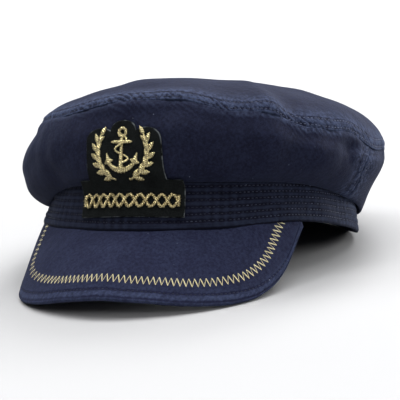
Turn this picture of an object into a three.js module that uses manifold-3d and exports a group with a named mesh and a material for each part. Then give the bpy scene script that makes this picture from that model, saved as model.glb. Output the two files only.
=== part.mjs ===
// Captain's cap in navy cotton: a soft oval crown that overhangs a straight stitched band, a stiff
// covered peak, and a felt badge patch with a raised anchor, two laurel sprays and a rope bar.
// Millimetres. X runs across the cap, Y from the peak to the back and Z up. The cap lies on the
// edge of its peak and on the back of its band, which the floor flattens.
//
// The pieces are worked out in the cap's own frame, where z = 0 is the plane of the band's lower
// edge. The angle phi runs round the head from the front, and lay() sets a point on the floor.
import * as THREE from 'three';
import { mergeVertices } from 'three/addons/utils/BufferGeometryUtils.js';
import Module from 'manifold-3d';

const wasm = await Module();
wasm.setup();

const DEG = Math.PI / 180;

// ---- driving dimensions -------------------------------------------------------------------
const PITCH = 16.2 * DEG; // the lower edge of the band leans back by this much on the floor
const GAP = 0.4; // between neighbouring pieces

const CLOTH = 1.5; // crown wall
const BAND_WALL = 2.4; // folded and stitched band
const BOARD = 3; // peak, a board between two cloths
const FELT = 1.6; // badge patch
const BULLION = 1.2; // raised gold work

const FRONT_STEPS = 30; // columns round the front and the back of the crown and the band
const BACK_STEPS = 30;
const SIDE_ROWS = 12;
const TIP_ROWS = 7;
const BAND_ROWS = 3;
const SIDE_SEAM = 87 * DEG; // where the front and back panels meet

const APEX = 82.8; // height of the middle of the tip

// Sections of the cap every 30 degrees. The band runs from its rim, leaning in by lean, up to
// seatZ, where the crown is sewn on. The crown hangs below that by hang, swells to its bulge and
// turns in to the tip's seam.
const SECTIONS = [
  { rimR: 92, rimZ: -4.6, lean: 3, seatZ: 22, hang: 1, bulgeR: 103, bulgeZ: 48, seamR: 97, seamZ: 64 },
  { rimR: 91.5, rimZ: -2.6, lean: 3, seatZ: 23, hang: 1, bulgeR: 108, bulgeZ: 46, seamR: 103, seamZ: 60 },
  { rimR: 90, rimZ: 2.8, lean: 3, seatZ: 25, hang: 2, bulgeR: 109, bulgeZ: 40, seamR: 105, seamZ: 52 },
  { rimR: 88.5, rimZ: 2.2, lean: 3, seatZ: 25, hang: 7, bulgeR: 106, bulgeZ: 38, seamR: 104, seamZ: 46.5 },
  { rimR: 90, rimZ: 1, lean: 3, seatZ: 26, hang: 14, bulgeR: 102.5, bulgeZ: 43, seamR: 103.5, seamZ: 48 },
  { rimR: 95, rimZ: 6, lean: 3, seatZ: 30, hang: 16, bulgeR: 115, bulgeZ: 41, seamR: 111, seamZ: 48 },
  { rimR: 98, rimZ: 10.5, lean: 3, seatZ: 33, hang: 16, bulgeR: 119, bulgeZ: 41, seamR: 114, seamZ: 49 },
  { rimR: 95, rimZ: 6, lean: 3, seatZ: 30, hang: 15, bulgeR: 115, bulgeZ: 41, seamR: 110, seamZ: 50 },
  { rimR: 90, rimZ: 1.2, lean: 5, seatZ: 26, hang: 13, bulgeR: 107, bulgeZ: 40, seamR: 101, seamZ: 52 },
  { rimR: 88.5, rimZ: 2.2, lean: 7, seatZ: 25, hang: 12, bulgeR: 103.5, bulgeZ: 38, seamR: 95, seamZ: 55 },
  { rimR: 89.5, rimZ: 2.6, lean: 9, seatZ: 25, hang: 11, bulgeR: 102, bulgeZ: 36, seamR: 91.5, seamZ: 58 },
  { rimR: 91, rimZ: -2, lean: 5, seatZ: 23, hang: 3, bulgeR: 101, bulgeZ: 42, seamR: 94, seamZ: 58 },
];

// How full the crown is, every 60 degrees: belly for its underside, and for the tip's arch a power,
// where larger is flatter on top, and a root, where smaller is steeper at the seam.
const FULLNESS = [
  { belly: 0.6, power: 2.6, root: 0.62 },
  { belly: 0.6, power: 2.4, root: 0.48 },
  { belly: 0.4, power: 2.2, root: 0.43 },
  { belly: 0.55, power: 2.1, root: 0.5 },
  { belly: 0.6, power: 2.3, root: 0.55 },
  { belly: 0.67, power: 2.6, root: 0.6 },
];

// The crown's side is steered between its bend under, its bulge and the tip's seam: a point below
// the bulge at lowerUp of the height, and one above it at upperIn of the way in and upperUp of the
// way up.
const SWELL = { lowerUp: 0.36, upperIn: 0.38, upperUp: 0.56 };

const NOSE = { rise: 5, width: 13 }; // the band's front is drawn out over the peak, in mm and degrees

// Soft folds: each lowers the tip's seam by drop and draws the bulge in by pinch.
const FOLDS = [
  { phi: 18, width: 8, drop: -1.8, pinch: 0 },
  { phi: 32, width: 8, drop: 1.3, pinch: 2.0 },
  { phi: 44, width: 7, drop: -1.7, pinch: -1.0 },
  { phi: 53, width: 6, drop: 1.5, pinch: 1.5 },
  { phi: 73, width: 6, drop: -2.3, pinch: 0 },
  { phi: 90, width: 8, drop: 2.0, pinch: 0.5 },
  { phi: 205, width: 12, drop: 1.5, pinch: 2.0 },
  { phi: 268, width: 9, drop: 1.5, pinch: 1.0 },
];

const FOLD_DEPTH = 1.6; // how far the turned-under cloth stands off the band

// The peak is sewn to the rim between its two roots. Its edge is a rounded arch in plan, and the
// heights along the edge are read from the middle to the root in equal steps.
const ROOT_PHI = 61.5 * DEG;
const PEAK_HALF_WIDTH = 80;
const PEAK_ROOT_Y = 43;
const PEAK_REACH = 84;
const PEAK_SPREAD = 1.2;
const PEAK_FULLNESS = 0.85;
const PEAK_EDGE_Z = [-40.8, -41.3, -42, -43, -43, -41.5, -36.6, -24.7, -2];
const PEAK_SWELL = 2.5; // rise of its middle over a straight line from the edge to the rim
const PEAK_STEPS = 36;
const PEAK_ROWS = 6;

// The badge, in front view: half widths across and heights over the plane of the rim.
const BAR = { halfWidth: 30, bottom: 2.8, top: 20.8 };
const LOBES = {
  halfWidth: 22.5,
  shoulder: 43,
  top: 50,
  notchX: 7.4,
  notchZ: 48.6,
  midTop: 54,
  crest: 1.4, // how much further the outline's handles stand than the tops
  handle: 5, // and how far out from the notches
};
const STAND_OFF = 0.7; // of the felt from the cap's front
const SHEET = { halfWidth: 34, bottom: 0, top: 58, columns: 14, rows: 11 }; // room for the outlines
const REACH = 160; // of an outline's block through the front of the cap

// The gold work on the patch, in the same view. Angles are in radians, counted from the right.
const ANCHOR = {
  ringZ: 47.2,
  ringR: 2.1,
  stockZ: 42,
  stockHalf: 5.8,
  armZ: 36,
  armR: 8.8,
  armTurn: 1.15,
  line: 1.8,
  fluke: { inward: 3.2, outward: 1.6, below: 2.2, above: 3.6 },
};
const LAUREL = {
  middle: 37.5,
  radius: 15.4,
  line: 1,
  start: -1.32,
  end: 0.6,
  pairs: 6,
  leaf: 5,
  leafWidth: 2.4,
  widest: 0.45, // of the leaf's length
  splay: 0.55,
};
const ROPE = { halfWidth: 26.5, bottom: 7.6, top: 15.6, turns: 12, swell: 0.9 };

// ---- the cap's surfaces -------------------------------------------------------------------
const { lerp, clamp, euclideanModulo } = THREE.MathUtils;

/** The smooth curve through four neighbouring values, between the middle two at t. */
function smooth(a, b, c, d, t) {
  const square = t * t;
  const cube = square * t;
  return (2 * cube - 3 * square + 1) * b + (cube - 2 * square + t) * (c - a) / 2
    + (3 * square - 2 * cube) * c + (cube - square) * (d - b) / 2;
}

/** One column of a table whose rows are evenly spaced round the head, at the angle phi. */
function around(column, phi, table = SECTIONS) {
  const count = table.length;
  const place = euclideanModulo(phi / (2 * Math.PI), 1) * count;
  const at = (k) => table[(k + count) % count][column];
  const i = Math.floor(place);
  return smooth(at(i - 1), at(i), at(i + 1), at(i + 2), place - i);
}

/** How far phi is from an angle in degrees, as a bell of the given width in degrees. */
function bell(phi, centre, width) {
  const turn = euclideanModulo(phi / DEG - centre + 180, 360) - 180;
  return Math.exp(-((turn / width) ** 2));
}

/** One column of FOLDS, summed at the angle phi. */
function folded(column, phi) {
  return FOLDS.reduce((sum, fold) => sum + fold[column] * bell(phi, fold.phi, fold.width), 0);
}

/** The band's outer radius at the height z. */
function bandRadius(phi, z) {
  const rimZ = around('rimZ', phi);
  const up = (z - rimZ) / (around('seatZ', phi) - rimZ);
  return around('rimR', phi) + NOSE.rise * bell(phi, 0, NOSE.width) - around('lean', phi) * up;
}

/** The point at a radius, angle and height. */
function polar(radius, phi, z) {
  return new THREE.Vector3(radius * Math.sin(phi), -radius * Math.cos(phi), z);
}

/** The crown's outer line in the section at phi, from the band to the apex, x being the radius. */
function crownLine(phi) {
  const seatZ = around('seatZ', phi);
  const underZ = seatZ - around('hang', phi);
  const seat = new THREE.Vector3(bandRadius(phi, seatZ) + GAP, seatZ, 0);
  const under = new THREE.Vector3(bandRadius(phi, underZ) + GAP + FOLD_DEPTH, underZ, 0);
  const bulge = new THREE.Vector3(around('bulgeR', phi) - folded('pinch', phi), around('bulgeZ', phi), 0);
  const seam = new THREE.Vector3(around('seamR', phi), around('seamZ', phi) - folded('drop', phi), 0);
  const belly = around('belly', phi, FULLNESS);
  const { lowerUp, upperIn, upperUp } = SWELL;
  const lower = new THREE.Vector3(lerp(under.x, bulge.x, belly), lerp(under.y, bulge.y, lowerUp), 0);
  const upper = new THREE.Vector3(lerp(bulge.x, seam.x, upperIn), lerp(bulge.y, seam.y, upperUp), 0);
  const side = new THREE.CatmullRomCurve3([seat, under, lower, bulge, upper, seam], false, 'centripetal');
  const line = side.getSpacedPoints(SIDE_ROWS);
  const power = around('power', phi, FULLNESS);
  const root = around('root', phi, FULLNESS);
  for (let row = 1; row <= TIP_ROWS; row++) {
    const t = row < TIP_ROWS ? Math.cos((row / TIP_ROWS) * Math.PI / 2) : 0;
    const rise = (1 - t ** power) ** root;
    line.push(new THREE.Vector3(seam.x * t, lerp(seam.y, APEX, rise), 0));
  }
  return line;
}

/** The radius of the cap's front at a height, over the band and the crown near it. */
function frontRadius(phi, z) {
  const line = crownLine(phi);
  let radius = bandRadius(phi, z);
  for (let k = 1; k <= SIDE_ROWS; k++) {
    const from = line[k - 1];
    const to = line[k];
    const t = (z - from.y) / (to.y - from.y);
    if (t >= 0 && t <= 1) radius = Math.max(radius, lerp(from.x, to.x, t));
  }
  return radius;
}

// ---- solids from grids of points ----------------------------------------------------------

/** The other face of a wall: each point of the grid moved against its outward normal. */
function innerFace(grid, thickness, closed) {
  const columns = grid.length;
  const rows = grid[0].length;
  const column = (i) => (closed ? grid[(i + columns) % columns] : grid[clamp(i, 0, columns - 1)]);
  return grid.map((points, i) => points.map((point, j) => {
    const along = column(i + 1)[j].clone().sub(column(i - 1)[j]);
    const up = points[Math.min(j + 1, rows - 1)].clone().sub(points[Math.max(j - 1, 0)]);
    const normal = along.cross(up);
    if (normal.lengthSq() < 1e-9) normal.set(0, 0, 1);
    return point.clone().addScaledVector(normal.normalize(), -thickness);
  }));
}

/** A closed body between an outer and an inner grid, whose columns run round and rows upwards. */
function wall(outer, inner, closed = false) {
  const corners = [];
  const triangle = (a, b, c) => {
    const area = b.clone().sub(a).cross(c.clone().sub(a)).length();
    if (area > 1e-7) corners.push(a, b, c);
  };
  const quad = (a, b, c, d) => {
    triangle(a, b, c);
    triangle(a, c, d);
  };
  const columns = outer.length;
  const rows = outer[0].length - 1;
  for (let i = 0; i < (closed ? columns : columns - 1); i++) {
    const next = (i + 1) % columns;
    for (let j = 0; j < rows; j++) {
      quad(outer[i][j], outer[next][j], outer[next][j + 1], outer[i][j + 1]);
      quad(inner[i][j], inner[i][j + 1], inner[next][j + 1], inner[next][j]);
    }
    quad(outer[i][0], inner[i][0], inner[next][0], outer[next][0]);
    quad(outer[i][rows], outer[next][rows], inner[next][rows], inner[i][rows]);
  }
  if (!closed) {
    const last = columns - 1;
    for (let j = 0; j < rows; j++) {
      quad(outer[0][j], outer[0][j + 1], inner[0][j + 1], inner[0][j]);
      quad(outer[last][j], inner[last][j], inner[last][j + 1], outer[last][j + 1]);
    }
  }
  return new THREE.BufferGeometry().setFromPoints(corners);
}

/** The grid with its end columns or rows drawn back by half a gap from the neighbouring piece. */
function drawnBack(grid, { columns = false, firstRow = false, lastRow = false }) {
  const shift = (point, towards) => {
    const step = towards.clone().sub(point);
    return point.clone().addScaledVector(step.normalize(), GAP / 2);
  };
  let result = grid;
  if (columns) {
    const last = grid.length - 1;
    result = result.map((points, i) => {
      if (i !== 0 && i !== last) return points;
      return points.map((point, j) => shift(point, grid[i === 0 ? 1 : last - 1][j]));
    });
  }
  return result.map((points) => points.map((point, j) => {
    if (firstRow && j === 0) return shift(point, points[1]);
    if (lastRow && j === points.length - 1) return shift(point, points[j - 1]);
    return point;
  }));
}

// ---- the peak, which says how high the cap lies ---------------------------------------------

/** A point on the peak's edge, s running from -1 at the left root to 1 at the right one. */
function peakEdge(s) {
  const turn = Math.abs(s) * Math.PI / 2;
  const last = PEAK_EDGE_Z.length - 1;
  const place = Math.min(Math.abs(s) * last, last - 1e-6);
  const at = (k) => (k > last ? 2 * PEAK_EDGE_Z[last] - PEAK_EDGE_Z[last - 1] : PEAK_EDGE_Z[Math.abs(k)]);
  const i = Math.floor(place);
  return new THREE.Vector3(
    Math.sign(s) * PEAK_HALF_WIDTH * Math.sin(turn) ** PEAK_SPREAD,
    -PEAK_ROOT_Y - PEAK_REACH * Math.max(Math.cos(turn), 0) ** PEAK_FULLNESS,
    smooth(at(i - 1), at(i), at(i + 1), at(i + 2), place - i),
  );
}

/** A point on the peak's upper face, v running from 0 at the edge to 1 at the rim. */
function peakPoint(s, v) {
  const phi = s * ROOT_PHI;
  const rimZ = around('rimZ', phi);
  const root = polar(bandRadius(phi, rimZ) - GAP, phi, rimZ - GAP);
  const edge = peakEdge(s);
  const slope = root.clone().sub(edge).normalize();
  const outward = polar(1, phi, 0);
  outward.addScaledVector(slope, -outward.dot(slope)).normalize();
  const swell = PEAK_SWELL * (1 - s * s) * Math.sin(Math.PI * v);
  return edge.lerp(root, v).addScaledVector(outward, swell);
}

const peakOuter = [];
for (let i = 0; i <= PEAK_STEPS; i++) {
  const s = lerp(-1, 1, i / PEAK_STEPS);
  peakOuter.push(Array.from({ length: PEAK_ROWS + 1 }, (_, j) => peakPoint(s, j / PEAK_ROWS)));
}
const peakInner = innerFace(peakOuter, BOARD, false);

/** A point of the cap's own frame turned to lie on the floor, before it is lifted. */
function pitched(point) {
  return point.clone().applyAxisAngle(new THREE.Vector3(1, 0, 0), -PITCH);
}

const LIFT = -Math.min(...[...peakOuter, ...peakInner].flat().map((point) => pitched(point).z));

/** A point of the cap's own frame where it lies, with nothing below the floor. */
function lay(point) {
  const laid = pitched(point);
  laid.z = laid.z + LIFT;
  if (laid.z < 1e-4) laid.z = 0;
  return laid;
}

/** The height of the floor in the cap's own frame, at the distance y behind the head's middle. */
function floorHeight(y) {
  return y * Math.tan(PITCH) - LIFT / Math.cos(PITCH);
}

// ---- the band and the crown -----------------------------------------------------------------
const angles = [];
for (let i = 0; i < FRONT_STEPS; i++) {
  angles.push(lerp(-SIDE_SEAM, SIDE_SEAM, i / FRONT_STEPS));
}
for (let i = 0; i < BACK_STEPS; i++) {
  angles.push(lerp(SIDE_SEAM, 2 * Math.PI - SIDE_SEAM, i / BACK_STEPS));
}

/** One face of the band, inset from its outer face, with its lower edge no lower than the floor. */
function bandFace(inset) {
  return angles.map((phi) => {
    const rimZ = around('rimZ', phi);
    const rim = polar(bandRadius(phi, rimZ) - inset, phi, rimZ);
    rim.z = Math.max(rim.z, floorHeight(rim.y));
    const points = [rim];
    for (let j = 1; j <= BAND_ROWS; j++) {
      const z = lerp(rim.z, around('seatZ', phi), j / BAND_ROWS);
      points.push(polar(bandRadius(phi, z) - inset, phi, z));
    }
    return points;
  });
}

const crownOuter = angles.map((phi) => crownLine(phi).map((p) => polar(p.x, phi, p.y)));
const crownInner = innerFace(crownOuter, CLOTH, true);

/** The side wall's columns from one to another, up to the tip's seam. */
function panel(grid, from, steps) {
  const columns = Array.from({ length: steps + 1 }, (_, k) => grid[(from + k) % grid.length]);
  const rows = columns.map((points) => points.slice(0, SIDE_ROWS + 1));
  return drawnBack(rows, { columns: true, lastRow: true });
}

/** The tip's rows, from its seam to the apex. */
function tip(grid) {
  return drawnBack(grid.map((points) => points.slice(SIDE_ROWS)), { firstRow: true });
}

// ---- the badge ------------------------------------------------------------------------------

/** A sheet of the given thickness, standing off the cap's front, to be cut to an outline. */
function frontSheet(standOff, thickness) {
  const { halfWidth, bottom, top, columns, rows } = SHEET;
  const face = (distance) => Array.from({ length: columns + 1 }, (_, i) => {
    const x = lerp(-halfWidth, halfWidth, i / columns);
    return Array.from({ length: rows + 1 }, (_, j) => {
      const z = lerp(bottom, top, j / rows);
      let phi = 0;
      let radius = 0;
      for (let pass = 0; pass < 4; pass++) {
        radius = Math.max(...[-2, 0, 2].map((step) => frontRadius(phi, z + step)));
        phi = Math.asin(x / radius);
      }
      return polar(radius + distance, phi, z);
    });
  });
  return wall(face(standOff + thickness), face(standOff));
}

/** A closed mesh as a solid that can be cut and joined. */
function solidOf(geometry) {
  const loose = geometry.index ? geometry.toNonIndexed() : geometry;
  const bare = new THREE.BufferGeometry().setAttribute('position', loose.getAttribute('position'));
  const merged = mergeVertices(bare, 1e-4);
  const vertProperties = merged.getAttribute('position').array;
  const triVerts = new Uint32Array(merged.index.array);
  return new wasm.Manifold(new wasm.Mesh({ numProp: 3, vertProperties, triVerts }));
}

/** A front-view outline as a block that runs through the front of the cap. */
function block(shape) {
  const options = { depth: REACH, bevelEnabled: false, curveSegments: 6 };
  return solidOf(new THREE.ExtrudeGeometry(shape, options).rotateX(Math.PI / 2));
}

/** The part of a sheet that lies inside the outlines, joined. */
function cutOut(sheet, shapes) {
  const outline = shapes.map(block).reduce((sum, next) => sum.add(next));
  const mesh = solidOf(sheet).intersect(outline).getMesh();
  const geometry = new THREE.BufferGeometry();
  geometry.setAttribute('position', new THREE.BufferAttribute(mesh.vertProperties, 3));
  geometry.setIndex(new THREE.BufferAttribute(mesh.triVerts, 1));
  return geometry;
}

/** The patch: three lobes over a wider bar. */
function badgeOutline() {
  const { halfWidth, shoulder, top, notchX, notchZ, midTop, crest, handle } = LOBES;
  const shape = new THREE.Shape();
  shape.moveTo(-BAR.halfWidth, BAR.bottom);
  shape.lineTo(BAR.halfWidth, BAR.bottom);
  shape.lineTo(BAR.halfWidth, BAR.top);
  shape.lineTo(halfWidth, BAR.top);
  shape.lineTo(halfWidth, shoulder);
  shape.bezierCurveTo(halfWidth, top, notchX + handle, top + crest, notchX, notchZ);
  shape.bezierCurveTo(notchX, midTop + crest, -notchX, midTop + crest, -notchX, notchZ);
  shape.bezierCurveTo(-notchX - handle, top + crest, -halfWidth, top, -halfWidth, shoulder);
  shape.lineTo(-halfWidth, BAR.top);
  shape.lineTo(-BAR.halfWidth, BAR.top);
  shape.closePath();
  return shape;
}

/** A straight bar between two points, tapering from one width to the other. */
function taper(x1, z1, x2, z2, width1, width2) {
  const along = new THREE.Vector2(x2 - x1, z2 - z1).normalize();
  const side = new THREE.Vector2(-along.y, along.x);
  const corner = (x, z, half) => new THREE.Vector2(x + side.x * half, z + side.y * half);
  return new THREE.Shape([
    corner(x1, z1, -width1 / 2),
    corner(x2, z2, -width2 / 2),
    corner(x2, z2, width2 / 2),
    corner(x1, z1, width1 / 2),
  ]);
}

/** A circular band of the given width, between two angles counted from the right. */
function arc(x, z, radius, width, start, end) {
  const shape = new THREE.Shape();
  shape.absarc(x, z, radius + width / 2, start, end, false);
  shape.absarc(x, z, radius - width / 2, end, start, true);
  shape.closePath();
  return shape;
}

/** The anchor: a ring, a stock, a shank and two curved arms that end in flukes. */
function anchorOutlines() {
  const { ringZ, ringR, stockZ, stockHalf, armZ, armR, armTurn, line, fluke } = ANCHOR;
  const ring = new THREE.Shape().absarc(0, ringZ, ringR + line / 2, 0, 2 * Math.PI, false);
  ring.holes = [new THREE.Path().absarc(0, ringZ, ringR - line / 3, 0, 2 * Math.PI, true)];
  const flukes = [-1, 1].map((side) => {
    const turn = -Math.PI / 2 + side * armTurn;
    const x = armR * Math.cos(turn);
    const z = armZ + armR * Math.sin(turn);
    const corners = [
      new THREE.Vector2(x - side * fluke.inward, z),
      new THREE.Vector2(x + side * fluke.outward, z - fluke.below),
      new THREE.Vector2(x + side * fluke.outward / 2, z + fluke.above),
    ];
    return new THREE.Shape(side > 0 ? corners : corners.reverse());
  });
  return [
    ring,
    taper(0, ringZ - ringR, 0, armZ - armR, line, line * 1.5),
    taper(-stockHalf, stockZ, stockHalf, stockZ, line, line),
    arc(0, armZ, armR, line * 1.3, -Math.PI / 2 - armTurn, -Math.PI / 2 + armTurn),
    ...flukes,
  ];
}

/** A laurel spray that climbs one side of the anchor, with leaves in pairs and one at its end. */
function laurelOutlines(side) {
  const { middle, radius, line, start, end, pairs, leaf, leafWidth, widest, splay } = LAUREL;
  const along = (turn) => new THREE.Vector2(
    side * radius * Math.cos(turn),
    middle + radius * Math.sin(turn),
  );
  const leafFrom = (root, heading) => {
    const ahead = new THREE.Vector2(Math.cos(heading), Math.sin(heading));
    const across = new THREE.Vector2(-ahead.y, ahead.x);
    const at = (far, wide) => root.clone().addScaledVector(ahead, far).addScaledVector(across, wide);
    return new THREE.Shape([
      at(0, -line / 3),
      at(leaf * widest, -leafWidth / 2),
      at(leaf, 0),
      at(leaf * widest, leafWidth / 2),
      at(0, line / 3),
    ]);
  };
  const stem = side > 0
    ? arc(0, middle, radius, line, start, end)
    : arc(0, middle, radius, line, Math.PI - end, Math.PI - start);
  const outlines = [stem];
  for (let k = 0; k <= pairs; k++) {
    const turn = lerp(start, end, (k + 0.5) / (pairs + 0.7));
    const heading = side > 0 ? turn + Math.PI / 2 : Math.PI / 2 - turn;
    const splays = k < pairs ? [-splay, splay] : [0];
    for (const away of splays) outlines.push(leafFrom(along(turn), heading + away));
  }
  return outlines;
}

/** The rope bar: a straight bar whose edges swell at each turn of the lay. */
function ropeOutline() {
  const { halfWidth, bottom, top, turns, swell } = ROPE;
  const steps = turns * 4;
  const edge = Array.from({ length: steps + 1 }, (_, k) => {
    const x = lerp(-halfWidth, halfWidth, k / steps);
    return new THREE.Vector2(x, swell * Math.abs(Math.sin((k / steps) * turns * Math.PI)));
  });
  const lower = edge.map((p) => new THREE.Vector2(p.x, bottom + swell - p.y));
  const upper = edge.map((p) => new THREE.Vector2(p.x, top - swell + p.y)).reverse();
  return new THREE.Shape([...lower, ...upper]);
}

// ---- the cap --------------------------------------------------------------------------------
const navy = new THREE.MeshStandardMaterial({ color: 0x23283c, roughness: 0.9, metalness: 0 });
const navyPale = new THREE.MeshStandardMaterial({ color: 0x343a54, roughness: 0.9, metalness: 0 });
const felt = new THREE.MeshStandardMaterial({ color: 0x161817, roughness: 1, metalness: 0 });
const gold = new THREE.MeshStandardMaterial({ color: 0xc9a557, roughness: 0.4, metalness: 0.8 });

const cap = new THREE.Group();

/** Adds a piece, laying its points on the floor. */
function add(name, geometry, material) {
  const position = geometry.getAttribute('position');
  const point = new THREE.Vector3();
  for (let i = 0; i < position.count; i++) {
    const laid = lay(point.fromBufferAttribute(position, i));
    position.setXYZ(i, laid.x, laid.y, laid.z);
  }
  geometry.computeVertexNormals();
  const mesh = new THREE.Mesh(geometry, material);
  mesh.name = name;
  cap.add(mesh);
}

add('crown_tip', wall(tip(crownOuter), tip(crownInner), true), navyPale);
add('crown_front_panel', wall(panel(crownOuter, 0, FRONT_STEPS), panel(crownInner, 0, FRONT_STEPS)), navy);
add(
  'crown_back_panel',
  wall(panel(crownOuter, FRONT_STEPS, BACK_STEPS), panel(crownInner, FRONT_STEPS, BACK_STEPS)),
  navy,
);
add('head_band', wall(bandFace(0), bandFace(BAND_WALL), true), navy);
add('peak', wall(peakOuter, peakInner), navyPale);

const patchSheet = frontSheet(STAND_OFF, FELT);
const goldSheet = frontSheet(STAND_OFF + FELT + GAP, BULLION);
add('badge_patch', cutOut(patchSheet, [badgeOutline()]), felt);
add('anchor', cutOut(goldSheet, anchorOutlines()), gold);
add('laurel_left', cutOut(goldSheet, laurelOutlines(-1)), gold);
add('laurel_right', cutOut(goldSheet, laurelOutlines(1)), gold);
add('rope_bar', cutOut(goldSheet, [ropeOutline()]), gold);

// The middle of the cap stands over the origin.
const bounds = new THREE.Box3().setFromObject(cap);
const middle = bounds.getCenter(new THREE.Vector3());
cap.position.set(-middle.x, -middle.y, -bounds.min.z);

export default cap;
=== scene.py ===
"""Captain's cap in navy cotton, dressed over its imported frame.

Millimetres in the cap's own frame, where x runs across, y from the peak to the back, z is the
height over the plane of the band's lower edge, and phi is the angle round the head from the front.
lay() sets such points on the floor, in metres.
"""
from math import cos, pi, radians, sin, sqrt, tau

import bpy
import numpy as np
from mathutils import Matrix, Vector
from mathutils.bvhtree import BVHTree


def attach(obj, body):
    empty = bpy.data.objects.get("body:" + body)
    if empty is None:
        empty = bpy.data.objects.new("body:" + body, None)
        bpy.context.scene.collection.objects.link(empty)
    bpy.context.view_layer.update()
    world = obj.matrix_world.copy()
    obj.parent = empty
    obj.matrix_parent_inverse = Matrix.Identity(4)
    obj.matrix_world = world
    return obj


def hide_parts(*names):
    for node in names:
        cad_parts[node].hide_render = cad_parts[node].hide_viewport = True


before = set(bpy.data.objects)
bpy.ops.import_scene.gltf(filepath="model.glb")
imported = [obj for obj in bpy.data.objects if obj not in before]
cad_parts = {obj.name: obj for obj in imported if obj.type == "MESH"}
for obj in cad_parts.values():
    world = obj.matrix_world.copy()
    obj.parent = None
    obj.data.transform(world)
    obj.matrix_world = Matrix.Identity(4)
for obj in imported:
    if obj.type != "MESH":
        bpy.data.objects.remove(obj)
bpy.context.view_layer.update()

# ---- the cap's own shape --------------------------------------------------------------------
MM = 0.001
PITCH = radians(16.2)  # the cap leans back by this much on the floor
APEX = 82.8  # height of the middle of the tip
SIDE_SEAM = radians(87)
FOLD_DEPTH = 1.6  # how far the turned-under cloth stands off the band
SEAT_GAP = 0.4  # from the band to the crown's inner edge

# Sections every 30 degrees from the front, towards the right.
RIM_R, RIM_Z, LEAN, SEAT_Z, HANG, BULGE_R, BULGE_Z, SEAM_R, SEAM_Z = np.array(
    [
        (92.0, -4.6, 3, 22, 1, 103.0, 48, 97.0, 64.0),
        (91.5, -2.6, 3, 23, 1, 108.0, 46, 103.0, 60.0),
        (90.0, 2.8, 3, 25, 2, 109.0, 40, 105.0, 52.0),
        (88.5, 2.2, 3, 25, 7, 106.0, 38, 104.0, 46.5),
        (90.0, 1.0, 3, 26, 14, 102.5, 43, 103.5, 48.0),
        (95.0, 6.0, 3, 30, 16, 115.0, 41, 111.0, 48.0),
        (98.0, 10.5, 3, 33, 16, 119.0, 41, 114.0, 49.0),
        (95.0, 6.0, 3, 30, 15, 115.0, 41, 110.0, 50.0),
        (90.0, 1.2, 5, 26, 13, 107.0, 40, 101.0, 52.0),
        (88.5, 2.2, 7, 25, 12, 103.5, 38, 95.0, 55.0),
        (89.5, 2.6, 9, 25, 11, 102.0, 36, 91.5, 58.0),
        (91.0, -2.0, 5, 23, 3, 101.0, 42, 94.0, 58.0),
    ]
).T

# How full the crown is, every 60 degrees: its underside, and the tip's arch.
BELLY, POWER, ROOT = np.array(
    [
        (0.6, 2.6, 0.62),
        (0.6, 2.4, 0.48),
        (0.4, 2.2, 0.43),
        (0.55, 2.1, 0.5),
        (0.6, 2.3, 0.55),
        (0.67, 2.6, 0.6),
    ]
).T

# Soft folds at an angle and width in degrees: the tip's seam drops, the bulge is pinched in.
FOLDS = [
    (18, 8, -1.8, 0),
    (32, 8, 1.3, 2.0),
    (44, 7, -1.7, -1.0),
    (53, 6, 1.5, 1.5),
    (73, 6, -2.3, 0),
    (90, 8, 2.0, 0.5),
    (205, 12, 1.5, 2.0),
    (268, 9, 1.5, 1.0),
]

PEAK_ROOT = radians(61.5)  # the peak is sewn on as far as this, each way
PEAK_GAP = 0.4  # its face ends this far inside and under the band's lower edge
PEAK_HALF_WIDTH = 80
PEAK_ROOT_Y = 43
PEAK_REACH = 84
PEAK_SQUARE = (1.2, 0.85)  # powers that round its outline, across and forward
PEAK_EDGE_Z = np.array([-40.8, -41.3, -42, -43, -43, -41.5, -36.6, -24.6, -0.2])  # middle to root
PEAK_SWELL = 2.5
PEAK_DRAWN_IN = 2.4  # its left side, towards the root
PEAK_DRAWN_AT = (0.82, 0.3)  # round this share of the way to the root, over this share

UP = Vector((0, sin(PITCH), cos(PITCH)))
BACK = Vector((0, cos(PITCH), -sin(PITCH)))
ACROSS = Vector((1, 0, 0))


def head_middle():
    """Where the cap's own frame has its origin, found from the highest point of the tip."""
    points = [v.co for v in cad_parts["crown_tip"].data.vertices]
    return max(points, key=lambda p: p @ UP) - UP * APEX * MM


HEAD = head_middle()
TO_FLOOR = np.array([ACROSS, BACK, UP]) * MM


def lay(points):
    """Points of the cap's own frame where they lie, in metres, with nothing below the floor."""
    laid = np.asarray(points) @ TO_FLOOR + np.array(HEAD)
    laid[..., 2] = np.maximum(laid[..., 2], 0)
    return laid


def between(a, b, c, d, t):
    """The smooth curve through four neighbouring values, between the middle two at t."""
    square, cube = t * t, t * t * t
    rise = (cube - 2 * square + t) * (c - a) / 2 + (cube - square) * (d - b) / 2
    return (2 * cube - 3 * square + 1) * b + (3 * square - 2 * cube) * c + rise


def around(column, phi):
    """A column of evenly spaced sections, at the angles phi."""
    place = np.asarray(phi) / tau % 1 * len(column)
    i = np.floor(place).astype(int)
    near = [column[(i + k) % len(column)] for k in (-1, 0, 1, 2)]
    return between(*near, place - i)


def bell(phi, centre, width):
    """1 at an angle in degrees, falling off over a width in degrees."""
    turn = (np.degrees(phi) - centre + 180) % 360 - 180
    return np.exp(-((turn / width) ** 2))


def folded(column, phi):
    """The seam's drop (2) or the bulge's pinch (3) from all folds, at the angles phi."""
    return sum(fold[column] * bell(phi, fold[0], fold[1]) for fold in FOLDS)


def polar(radius, phi, z):
    """Points at a radius, an angle and a height."""
    return np.stack(np.broadcast_arrays(radius * np.sin(phi), -radius * np.cos(phi), z), -1)


BROW = 5, 13  # the band's front is drawn out this far over the peak, for this many degrees


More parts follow.
